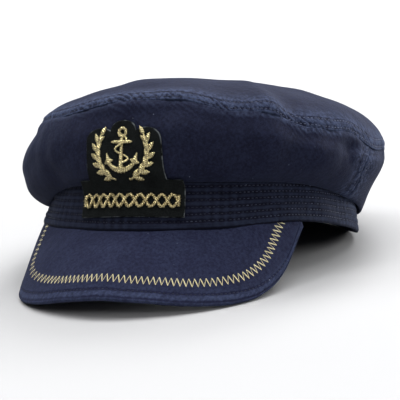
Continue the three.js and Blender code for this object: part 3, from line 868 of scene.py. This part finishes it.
class Front:
    """The cap's front as the stiff patch lies on it, by x and height in a front view."""

    def __init__(self, half_width, low, high):
        self.x = np.arange(-half_width, half_width + 1.0)
        self.z = np.arange(low, high + 1.0)
        trees = tree_of(front), tree_of(band)
        y = np.array([[self.meet(trees, x, z) for z in self.z] for x in self.x])
        for _ in range(STIFF):
            y = np.minimum(y, self.smoothed(y))
        for _ in range(EVEN):
            y = self.smoothed(y)
        self.y = y

    @staticmethod
    def smoothed(y):
        """Each depth as the mean of its neighbourhood, the outermost ones kept."""
        smooth = sum(np.roll(y, (i, j), (0, 1)) for i in (-1, 0, 1) for j in (-1, 0, 1)) / 9
        smooth[[0, -1]], smooth[:, [0, -1]] = y[[0, -1]], y[:, [0, -1]]
        return smooth

    @staticmethod
    def meet(trees, x, z):
        """The depth at which a ray from the front first meets the cap."""
        hits = [tree.ray_cast(Vector((x, -300, z)), Vector((0, 1, 0)))[0] for tree in trees]
        return min(hit.y for hit in hits if hit is not None)

    def depth(self, x, z):
        """The depth of the front at x and z."""
        i = np.clip((x - self.x[0]), 0, len(self.x) - 1.001)
        j = np.clip((z - self.z[0]), 0, len(self.z) - 1.001)
        a, b = np.floor(i).astype(int), np.floor(j).astype(int)
        u, v = i - a, j - b
        low = self.y[a, b] * (1 - u) + self.y[a + 1, b] * u
        high = self.y[a, b + 1] * (1 - u) + self.y[a + 1, b + 1] * u
        return low * (1 - v) + high * v

    def __call__(self, x, z, height):
        """Points at x and z that stand a height off the front."""
        slope_x = (self.depth(x + 1, z) - self.depth(x - 1, z)) / 2
        slope_z = (self.depth(x, z + 1) - self.depth(x, z - 1)) / 2
        out = unit(np.stack([slope_x, -np.ones_like(slope_x), slope_z * UPRIGHT], -1))
        place = np.stack([x, self.depth(x, z), z], -1)
        return place + out * np.asarray(height)[..., None]


cap_front = Front(36, 0, 57)

BAR = (30.0, 2.8, 22.6)  # half width, bottom and top of the patch's lower part
LOBES = {"side": 22.5, "shoulder": 43, "top": 50, "notch": (7.6, 48.2), "middle": 54.2}
CREST, HANDLE = 1.4, 5  # how far the points that pull on the lobes' curves stand out
PATCH_MIDDLE = (0, 18.0)
PATCH_RINGS = [0, 0.004, 0.012, 0.03, *np.linspace(0.06, 1, 34)]  # from its cut edge to its middle
FELT_ROUND = 0.5  # its cut edge is rounded this far in
OUTLINE_PACE = 0.7


def bend(a, b, c, d, count):
    """Points of the curve from a to d that b and c pull on, without its end."""
    t = np.linspace(0, 1, count, endpoint=False)[:, None]
    a, b, c, d = (np.array(p, float) for p in (a, b, c, d))
    return a * (1 - t) ** 3 + 3 * b * t * (1 - t) ** 2 + 3 * c * t * t * (1 - t) + d * t**3


def straight(*corners):
    """Evenly paced points along straight sides, without the last corner."""
    sides = []
    for a, b in zip(np.array(corners, float), np.array(corners[1:], float)):
        count = max(round(float(np.linalg.norm(b - a)) / OUTLINE_PACE), 1)
        sides.append(np.linspace(a, b, count, endpoint=False))
    return np.concatenate(sides)


def patch_outline():
    """The patch, anticlockwise from its lower left corner: three lobes over a wider bar."""
    half, low, high = BAR
    side, shoulder, top, (nx, nz), middle = LOBES.values()
    outline = [
        straight((-half, low), (half, low), (half, high), (side, high), (side, shoulder)),
        bend((side, shoulder), (side, top), (nx + HANDLE, top + CREST), (nx, nz), 26),
        bend((nx, nz), (nx, middle + CREST), (-nx, middle + CREST), (-nx, nz), 30),
        bend((-nx, nz), (-nx - HANDLE, top + CREST), (-side, top), (-side, shoulder), 26),
        straight((-side, shoulder), (-side, high), (-half, high), (-half, low)),
    ]
    return np.concatenate(outline)


def patch():
    """The felt patch over the front, as thick all over as FELT but for its rounded edge."""
    outline = patch_outline()
    middle = np.array(PATCH_MIDDLE)
    size = 1 - np.array(PATCH_RINGS)
    rings = middle + (outline - middle)[:, None] * size[None, :, None]
    x, z = rings[..., 0], rings[..., 1]
    inset = np.linalg.norm(rings - rings[:, :1], axis=-1)
    fuzz = 0.08 * drift(x, z, 2.2, seed=51, waves=14)
    rounded = FELT_ROUND * np.maximum(1 - inset / FELT_ROUND, 0) ** 2
    top = cap_front(x, z, FELT_LOW + FELT + fuzz * step(inset, FELT_ROUND, 0.6) - rounded)
    low = cap_front(x, z, FELT_LOW + 0 * x)
    low[:, 0] += (top[:, 0] - low[:, 0]) * 0.15
    # The cut edge, painted pale in the felt: cut fibres, and partly a painted highlight.
    cut = 1 - step(inset, 0.45, 0.3)
    return Cloth("badge_felt", top, low, rings, cut, closed=True, pole=True)


badge = patch()


STROKE_PACE = 0.2  # from one ring of a wound stroke to the next
STROKE_SIDES = 12
WOUND = 0.2  # how deep the winding cuts, as a share of the stroke
UNDERSIDE = 0.35  # of its height that a stroke's middle lies over the felt


class Bullion:
    """Raised metal thread work on the patch: padded strokes wound with thread."""

    def __init__(self, name):
        self.name, self.points, self.faces, self.uvs, self.count = name, [], [], [], 0

    def stroke(self, path, widths, height, coil=1.5, closed=False, rise=0.0):
        """A wound stroke along a path in front view, widths and rise given along its length."""
        sides = STROKE_SIDES
        path = np.asarray(path, float)
        if closed:
            path = np.concatenate([path, path[:1]])
        long = lengths(path).sum()
        count = max(int(long / STROKE_PACE), 6)
        share = np.linspace(0, 1, count + 1)
        line = spread(path, share)
        ahead = unit(np.gradient(line, axis=0))
        if closed:
            line, ahead, share = line[:-1], ahead[:-1], share[:-1]
            ahead[0] = unit(line[1] - line[-1])
        side = np.stack([-ahead[:, 1], ahead[:, 0]], -1)
        wide = np.interp(share, np.linspace(0, 1, len(widths)), widths)
        turns = np.arange(sides) * tau / sides
        wound = 1 + WOUND * np.sin(share[:, None] * long / coil * tau + turns)
        off = wide[:, None] / 2 * np.cos(turns) * wound
        arched = UNDERSIDE + (1 - UNDERSIDE) * np.sin(turns) * wound
        stand = height * (wide / max(widths))[:, None] ** 0.5 * arched
        lift = np.interp(share, np.linspace(0, 1, np.size(rise)), np.atleast_1d(rise))
        x = line[:, :1] + side[:, :1] * off
        z = line[:, 1:] + side[:, 1:] * off
        points = cap_front(x, z, FELT_LOW + FELT + stand + lift[:, None])
        index = np.arange(points.shape[0] * sides).reshape(-1, sides) + self.count
        loop = np.concatenate([index, index[:, :1]], 1)
        rows = np.concatenate([loop, loop[:1]]) if closed else loop
        self.faces += [tuple(face) for face in cells(rows)[:, ::-1].tolist()]
        if not closed:
            self.faces += [tuple(index[0][::-1].tolist()), tuple(index[-1].tolist())]
        self.points.append(points.reshape(-1, 3))
        around_it = np.broadcast_to(turns * wide.mean() / 2, (len(line), sides))
        along_it = np.broadcast_to(share[:, None] * long, (len(line), sides))
        self.uvs.append(np.stack([along_it, around_it], -1).reshape(-1, 2))
        self.count += points.shape[0] * sides

    def sew(self):
        """All the strokes as one piece."""
        points, uvs = np.concatenate(self.points), np.concatenate(self.uvs)
        return new_mesh(self.name, lay(points), self.faces, uvs)


def bow(x, z, radius, start, end):
    """Points of an arc round x and z."""
    turns = np.linspace(start, end, 60)
    return np.stack([x + radius * np.cos(turns), z + radius * np.sin(turns)], -1)


def anchor():
    """A fouled anchor: ring, arms with flukes and bills, shank, stock, and the rope round it."""
    work = Bullion("anchor_bullion")
    fluke, bill, shank = [0.5, 2.0, 3.2, 2.4, 0.6], [2.6, 2.3, 1.4, 0.5], [1.5, 1.8, 2.2, 2.6]
    stock, arms = [1.0, 1.9, 1.6, 1.9, 1.6, 1.9, 1.0], [1.4, 2.2, 3.0, 2.2, 1.4]
    ring_z, stock_z, arm_z, arm_r, turn = 47.2, 42.0, 36.0, 8.8, 1.15
    work.stroke(bow(0, ring_z, 2.2, 0, tau)[:-1], [1.5, 1.5], 1.0, closed=True)
    work.stroke(bow(0, arm_z, arm_r, -pi / 2 - turn, -pi / 2 + turn), arms, 1.1)
    for side in (-1, 1):
        tip_x, tip_z = arm_r * cos(-pi / 2 + turn) * side, arm_z + arm_r * sin(-pi / 2 + turn)
        ends = (tip_x - side * 2.9, tip_z + 0.4), (tip_x + side * 1.9, tip_z - 1.6)
        work.stroke(ends, fluke, 1.1)
        ends = (tip_x - side * 0.6, tip_z - 1.4), (tip_x + side * 0.9, tip_z + 3.8)
        work.stroke(ends, bill, 1.2)
    work.stroke([(0, ring_z - 2.4), (0, arm_z - arm_r - 1.0)], shank, 1.35)
    work.stroke([(-6.2, stock_z), (6.2, stock_z)], stock, 1.45)
    z = np.linspace(ring_z - 0.4, arm_z - arm_r + 3.4, 60)
    swing = (z - z[-1]) / (z[0] - z[-1]) * 1.6 * tau
    sway = np.linspace(2.6, 4.4, 60) * np.sin(swing)
    over = 0.55 + 0.75 * np.cos(swing)
    work.stroke(np.stack([sway, z], -1), [1.0, 1.0], 0.7, coil=1.2, rise=over)
    return work.sew()


def laurel(name, side):
    """A spray of leaves in pairs up a bowed stem, side being -1 at the left and 1 at the right."""
    work = Bullion(name)
    middle, radius, start, end, pairs = 37.5, 15.4, -1.32, 0.6, 6
    splay, leaf_long, leaf_bow, leaf = 0.55, 5.6, 0.9, [0.5, 1.6, 2.3, 2.4, 2.1, 1.4, 0.4]
    stem = bow(0, middle, radius, start, end)
    work.stroke(stem * (side, 1), [1.1, 1.0, 0.8], 0.7)
    for k in range(pairs + 1):
        turn = start + (end - start) * (k + 0.5) / (pairs + 0.7)
        root = np.array([radius * cos(turn), middle + radius * sin(turn)])
        for away in (-splay, splay) if k < pairs else (0,):
            heading = turn + pi / 2 + away
            ahead = np.array([cos(heading), sin(heading)])
            across = np.array([-ahead[1], ahead[0]])
            t = np.linspace(0.04, 1, 12)[:, None]
            path = root + ahead * t * leaf_long - across * (away * leaf_bow * np.sin(t * pi) * 0.5)
            work.stroke(path * (side, 1), leaf, 0.95, coil=1.3)
    return work.sew()


def rope():
    """A bar of two strands that cross over and under each other, with a stroke at each end."""
    work = Bullion("rope_bullion")
    half, low, high, crossings = 26.5, 7.4, 15.8, 10
    x = np.linspace(-half, half, 400)
    lay_turn = (x + half) / (2 * half) * crossings * pi
    for strand in (-1, 1):
        z = (low + high) / 2 + strand * (high - low - 2.0) / 2 * np.sin(lay_turn)
        over = 0.45 * strand * np.cos(lay_turn)
        work.stroke(np.stack([x, z], -1), [1.6, 1.6], 1.0, rise=0.45 + over, coil=1.4)
    for end in (-1, 1):
        x_end = end * (half + 0.2)
        work.stroke([(x_end, low + 1.2), (x_end, high - 1.2)], [1.6, 2.0, 1.6], 1.4)
    return work.sew()


anchor_piece = anchor()
laurels = laurel("laurel_left_bullion", -1), laurel("laurel_right_bullion", 1)
rope_piece = rope()

# ---- finishes -------------------------------------------------------------------------------
class Wire:
    """A socket in a finish, so that shader maths is written as an expression."""

    def __init__(self, finish, socket):
        self.finish, self.socket = finish, socket

    def math(self, operation, *values):
        return self.finish.node("Math", {"operation": operation}, dict(enumerate(values)))

    def __add__(self, other):
        return self.math("ADD", self, other)

    def __sub__(self, other):
        return self.math("SUBTRACT", self, other)

    def __rsub__(self, other):
        return self.math("SUBTRACT", other, self)

    def __mul__(self, other):
        return self.math("MULTIPLY", self, other)

    __radd__ = __add__
    __rmul__ = __mul__

    def wave(self, length):
        """From 0 to 1 and back over a length."""
        return self.math("SINE", self * (tau / length)) * 0.5 + 0.5

    def between(self, low, high):
        """0 at low and 1 at high, held past them."""
        values = {"Value": self, "From Min": low, "From Max": high}
        return self.finish.node("MapRange", {"clamp": True}, values)


class Finish:
    """A material made of nodes, which feed its one shader."""

    def __init__(self, name):
        self.material = bpy.data.materials.new(name)
        self.material.use_nodes = True
        self.tree = self.material.node_tree
        self.shader = self.tree.nodes["Principled BSDF"]

    def plug(self, socket, value):
        """A link into a socket, or a value on it."""
        if isinstance(value, Wire):
            self.tree.links.new(value.socket, socket)
        elif hasattr(value, "__len__") and len(value) == 3 and socket.type == "RGBA":
            socket.default_value = (*value, 1)
        else:
            socket.default_value = value

    def node(self, kind, settings, values, out=0):
        """A node of a kind, its settings made first and then the values or links of its sockets."""
        node = self.tree.nodes.new("ShaderNode" + kind)
        for name, value in settings.items():
            setattr(node, name, value)
        for name, value in values.items():
            self.plug(node.inputs[name], value)
        return Wire(self, node.outputs[out])

    def set(self, **values):
        """Values or links for the shader's sockets, named with _ for a space."""
        for name, value in values.items():
            self.plug(self.shader.inputs[name.replace("_", " ").title()], value)

    def cloth_uv(self):
        """How far along and across the cloth, in metres, and both as one vector."""
        place = self.node("UVMap", {"uv_map": "cloth"}, {})
        apart = self.node("SeparateXYZ", {}, {0: place})
        return apart, Wire(self, apart.socket.node.outputs[1]), place

    def noise(self, place, size, detail=2.0, rough=0.55):
        """Soft noise from about 0.3 to 0.7, in patches of a size in metres."""
        values = {"Vector": place, "Scale": 1 / size, "Detail": detail, "Roughness": rough}
        return self.node("TexNoise", {}, values)

    def mix(self, share, low, high):
        """One colour turning to another by a share."""
        return self.node("Mix", {"data_type": "RGBA"}, {0: share, 6: low, 7: high}, out=2)

    def bump(self, height, distance, strength=1.0, under=None):
        """A normal that a height tilts, over what another bump has tilted under it."""
        values = {"Height": height, "Distance": distance, "Strength": strength}
        if under is not None:
            values["Normal"] = under
        return self.node("Bump", {}, values)


NAVY_DEEP = (0.0033, 0.0037, 0.0092)  # the twill's darker yarns, and painted shade where the cloth lies deep
NAVY = (0.0100, 0.0118, 0.029)
# Pale with wear and lint, and painted highlight on crests and along seams.
NAVY_WORN_AND_LIT = (0.0375, 0.049, 0.0915)
SHEEN_TINT = (0.45, 0.55, 0.9)
LINT = (0.22, 0.25, 0.34)
TWILL = 0.0007  # from one rib of the twill to the next, along the cloth
LINT_SPACE = 0.0065
LINT_SIZE = 0.055  # of a speck, as a share of the space
FELT_BLACK = (0.0032, 0.0038, 0.0038)
FELT_FUZZ = (0.0095, 0.011, 0.011)
FELT_CUT_AND_HIGHLIGHT = (0.085, 0.095, 0.102)


def cotton(name, fade=1.0):
    """Washed navy cotton twill with fine lint on it, its tones scaled by fade: below 1 it is
    painted darker as painted shade, above 1 paler as painted light.
    """
    tones = NAVY_DEEP, NAVY, NAVY_WORN_AND_LIT
    deep, plain, worn_and_lit = (tuple(fade * part for part in tone) for tone in tones)
    finish = Finish(name)
    along_it, across_it, cloth_place = finish.cloth_uv()
    place = finish.node("TexCoord", {}, {}, out=3)
    twill = (along_it + across_it * 0.6).wave(TWILL)
    yarn = (across_it - along_it * 0.15).wave(TWILL * 0.8)
    slub = finish.noise(place, 0.0016, detail=3, rough=0.7)
    mottle = finish.noise(place, 0.016, detail=3)
    rub = finish.node("Attribute", {"attribute_name": "rub"}, {}, out=2)
    gather = finish.node("Attribute", {"attribute_name": "gather"}, {}, out=2)
    crimp = finish.noise(place, 0.0027, detail=3, rough=0.65)
    grain = twill * 0.3 + yarn * 0.15 + slub * 0.9
    tone = finish.mix(grain.between(0.3, 0.95), deep, plain)
    crests = gather * (crimp.between(0.45, 0.62) * 0.6 + slub.between(0.5, 0.66) * 0.4)
    # Pale with slubs, mottle, lint and wear; painted highlight on crests and along seams.
    pale = rub * 0.45 + crests * 0.95 + gather * 0.17 + slub * 0.45 + mottle * 0.24 - 0.3
    tone = finish.mix(pale.between(0.0, 1.0), tone, worn_and_lit)
    # Darker in the cloth's hollows: painted shade.
    hollow_shade = (0 - rub - slub * 0.4).between(0.1, 1.0)
    tone = finish.mix(hollow_shade * 0.5, tone, deep)
    flock = {"Vector": cloth_place, "Scale": 1 / LINT_SPACE, "Randomness": 1.0}
    flock = finish.node("TexVoronoi", {}, flock)
    speck = flock.between(LINT_SIZE, LINT_SIZE * 0.5)
    tone = finish.mix(speck * finish.noise(place, 0.03).between(0.48, 0.62), tone, LINT)
    weave = finish.bump(grain, 0.00025, 0.7)
    creases = finish.noise(place, 0.0065, detail=3) + gather * crimp
    crumple = finish.bump(creases, 0.0010, 0.5, under=weave)
    finish.set(base_color=tone, roughness=slub * 0.3 + 0.72, normal=crumple)
    finish.set(sheen_weight=0.06, sheen_roughness=0.45, sheen_tint=SHEEN_TINT)
    finish.shader.inputs["Specular IOR Level"].default_value = 0.07
    return finish.material


def felt(name):
    """Black felt, pale along its cut edge: its cut fibres, and a painted highlight."""
    finish = Finish(name)
    _, _, place = finish.cloth_uv()
    fuzz = finish.noise(place, 0.0007, detail=4, rough=0.7)
    cloud = finish.noise(place, 0.006)
    cut = finish.node("Attribute", {"attribute_name": "rub"}, {}, out=2)
    tone = finish.mix((fuzz + cloud * 0.5).between(0.55, 0.95), FELT_BLACK, FELT_FUZZ)
    toward_pale = cut * cloud.between(0.36, 0.6)
    tone = finish.mix((toward_pale * 0.9 + fuzz - 0.55).between(0.25, 0.85), tone, FELT_CUT_AND_HIGHLIGHT)
    finish.set(base_color=tone, roughness=0.95, normal=finish.bump(fuzz, 0.0004, 0.8))
    finish.set(sheen_weight=0.01, sheen_roughness=0.5, sheen_tint=(0.8, 0.9, 0.85))
    finish.shader.inputs["Specular IOR Level"].default_value = 0.04
    return finish.material


def metal_thread(name, pitch, bright, shade_and_tarnish, metal, rough):
    """Thread wound with a metal strip: its turns lie slanting, pitch apart. Its colour is dark
    between the turns as painted shade and where it tarnishes, and pale in small painted glints.
    """
    finish = Finish(name)
    along_it, across_it, place = finish.cloth_uv()
    turns = (along_it + across_it * 0.5).wave(pitch)
    tarnish = finish.noise(place, 0.003, detail=3)
    glint = finish.noise(place, 0.0006, detail=1)
    # Dark between the turns as painted shade and with tarnish, pale in small painted glints.
    toward_pale = turns * 0.55 + tarnish * 0.5 + glint * 0.4 - 0.1
    tone = finish.mix(toward_pale.between(0.25, 0.95), shade_and_tarnish, bright)
    shine = 1 - turns * 0.25 - glint * 0.5
    finish.set(base_color=tone, metallic=metal, roughness=shine * rough * 2)
    finish.set(normal=finish.bump(turns + glint * 0.4, 0.0002, 0.9))
    return finish.material


def sewing_thread(name, dark, light):
    """Spun thread, its ply showing as slanting lines, paler in patches, and painted paler
    towards the cap's sides as painted light.
    """
    finish = Finish(name)
    along_it, across_it, place = finish.cloth_uv()
    ply = (along_it + across_it * 0.8).wave(0.0007)
    place = finish.node("TexCoord", {}, {}, out=3)
    fade = finish.noise(place, 0.012, detail=4, rough=0.75)
    across_cap = finish.node("SeparateXYZ", {}, {0: place})
    # Paler towards the cap's sides: painted light, where the side light falls.
    side = across_cap.math("ABSOLUTE", across_cap).between(0.045, 0.09)
    tone = finish.mix((ply * 0.25 + fade * 1.6 + side * 0.6).between(0.95, 1.6), dark, light)
    finish.set(base_color=tone, roughness=0.6, normal=finish.bump(ply, 0.0001, 0.7))
    finish.shader.inputs["Specular IOR Level"].default_value = 0.2
    return finish.material


# One cotton: painted darker on the band as painted shade, paler on the peak as painted light.
crown_cotton = cotton("navy_crown_cotton")
band_cotton = cotton("navy_band_cotton_painted_shade", 0.55)
peak_cotton = cotton("navy_peak_cotton_painted_light", 1.6)
badge_felt = felt("black_badge_felt")
BULLION = {"pitch": 0.0011, "metal": 0.8}
bullion_gold = metal_thread(
    "gold_bullion", bright=(0.84, 0.74, 0.4), shade_and_tarnish=(0.085, 0.05, 0.016), rough=0.22, **BULLION
)
rope_gold = metal_thread(
    "gold_rope_bullion", bright=(0.74, 0.62, 0.32), shade_and_tarnish=(0.06, 0.038, 0.012), rough=0.24, **BULLION
)
zigzag_gold = metal_thread(
    "gold_embroidery_thread",
    bright=(1.0, 0.93, 0.56),
    shade_and_tarnish=(0.16, 0.10, 0.02),
    rough=0.2,
    pitch=0.0008,
    metal=0.25,
)
navy_thread = sewing_thread("navy_sewing_thread", (0.006, 0.008, 0.020), (0.026, 0.032, 0.062))
pale_thread = sewing_thread("pale_sewing_thread", (0.006, 0.0072, 0.017), (0.085, 0.1, 0.16))

# ---- dressing the cap -----------------------------------------------------------------------
def dress(piece, slot, material, *nodes):
    """A piece given its material, its body and the nodes that it stands for. slot is not used."""
    piece.data.materials.append(material)
    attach(piece, "root")
    if nodes:
        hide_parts(*nodes)


dress(tip.piece, "crown_cotton", crown_cotton, "crown_tip")
dress(front.piece, "crown_cotton", crown_cotton, "crown_front_panel")
dress(back.piece, "crown_cotton", crown_cotton, "crown_back_panel")
dress(crown_thread.sew(), "crown_cotton", pale_thread)
dress(band.piece, "band_cotton", band_cotton, "head_band")
dress(band_thread.sew(), "band_cotton", pale_thread)
dress(peak.piece, "peak_cotton", peak_cotton, "peak")
dress(peak_thread.sew(), "peak_cotton", navy_thread)
dress(gold_thread.sew(), "gold_thread", zigzag_gold)
dress(badge.piece, "badge_felt", badge_felt, "badge_patch")
dress(anchor_piece, "gold_thread", bullion_gold, "anchor")
dress(laurels[0], "gold_thread", bullion_gold, "laurel_left")
dress(laurels[1], "gold_thread", bullion_gold, "laurel_right")
dress(rope_piece, "gold_thread", rope_gold, "rope_bar")

# ---- the stage ------------------------------------------------------------------------------
VIEW_TURN = radians(24.5)  # the camera stands this far round to the cap's left hand
VIEW_RISE = radians(-2.5)  # and so far over the plane of its band, which is just under it
VIEW_ROLL = radians(-1.0)
VIEW_FAR = 1.2  # m
LENS = 190.0  # mm
AIM_ACROSS = radians(0.03)  # the camera looks this far beside the cap's middle
AIM_OVER = radians(0.84)  # and this far over it


def set_camera():
    """The camera, far off with a long lens, a little under the plane of the leaning cap's band."""
    right = ACROSS * cos(VIEW_TURN) + BACK * sin(VIEW_TURN)
    level = ACROSS * sin(VIEW_TURN) - BACK * cos(VIEW_TURN)
    away = level * cos(VIEW_RISE) + UP * sin(VIEW_RISE)
    turn = Matrix((right, away.cross(right), away)).transposed()
    for swing, axis in ((-VIEW_ROLL, "Z"), (AIM_ACROSS, "Y"), (AIM_OVER, "X")):
        turn = turn @ Matrix.Rotation(swing, 3, axis)
    camera = bpy.data.cameras.new("camera")
    camera.lens = LENS
    eye = bpy.data.objects.new("camera", camera)
    eye.matrix_world = Matrix.Translation(HEAD + away * VIEW_FAR) @ turn.to_4x4()
    bpy.context.scene.collection.objects.link(eye)
    bpy.context.scene.camera = eye


def softbox(name, place, size, power, target=(0, 0, 0.05)):
    """A rectangular light at a place in metres, of a size in metres and a power in watts."""
    light = bpy.data.lights.new(name, "AREA")
    light.shape = "RECTANGLE"
    light.size, light.size_y = size
    light.energy = power
    lamp = bpy.data.objects.new(name, light)
    lamp.location = place
    lamp.rotation_euler = (Vector(target) - Vector(place)).to_track_quat("-Z", "Y").to_euler()
    bpy.context.scene.collection.objects.link(lamp)


FLOOR_NEAR = (0.375, 0.375, 0.38)
FLOOR_FAR = (0.72, 0.72, 0.725)


def set_floor():
    """A plain floor, paler away from the cap, where less light falls on it."""
    bpy.ops.object.select_all(action="DESELECT")
    bpy.ops.mesh.primitive_plane_add(size=16, location=(0, 0, 0))
    floor = bpy.context.object
    floor.name = "floor"
    finish = Finish("pale_floor")
    place = finish.node("TexCoord", {}, {}, out=3)
    far = finish.node("VectorMath", {"operation": "LENGTH"}, {0: place}, out=1)
    shade = far.between(0.5, 2.6) + finish.noise(place, 0.4) * 0.08
    finish.set(base_color=finish.mix(shade, FLOOR_NEAR, FLOOR_FAR), roughness=0.9)
    floor.data.materials.append(finish.material)


def set_light():
    """Soft light from above and behind, a little from the front, and a pale far floor."""
    softbox("overhead", (0.45, 0.25, 1.9), (1.8, 1.8), 49)
    softbox("overhead_left", (-0.9, 0.1, 1.6), (0.8, 0.8), 15)
    softbox("overhead_back", (0.0, 1.5, 1.5), (0.8, 0.8), 31)
    softbox("upper_left", (-0.6, -0.9, 1.7), (0.5, 0.5), 10)
    softbox("front_right", (1.2, -1.3, 0.9), (0.5, 0.5), 11)
    softbox("side", (0.9, 1.2, 0.28), (0.6, 0.4), 15)
    softbox("far_floor", (-0.9, 2.0, 1.3), (1.8, 1.2), 24, target=(-1.0, 2.2, 0))
    world = bpy.data.worlds.new("studio")
    world.use_nodes = True
    world.node_tree.nodes["Background"].inputs["Color"].default_value = (0.92, 0.95, 1.0, 1)
    world.node_tree.nodes["Background"].inputs["Strength"].default_value = 0.2
    bpy.context.scene.world = world
    bpy.context.scene.view_settings.view_transform = "Standard"


set_camera()
set_floor()
set_light()
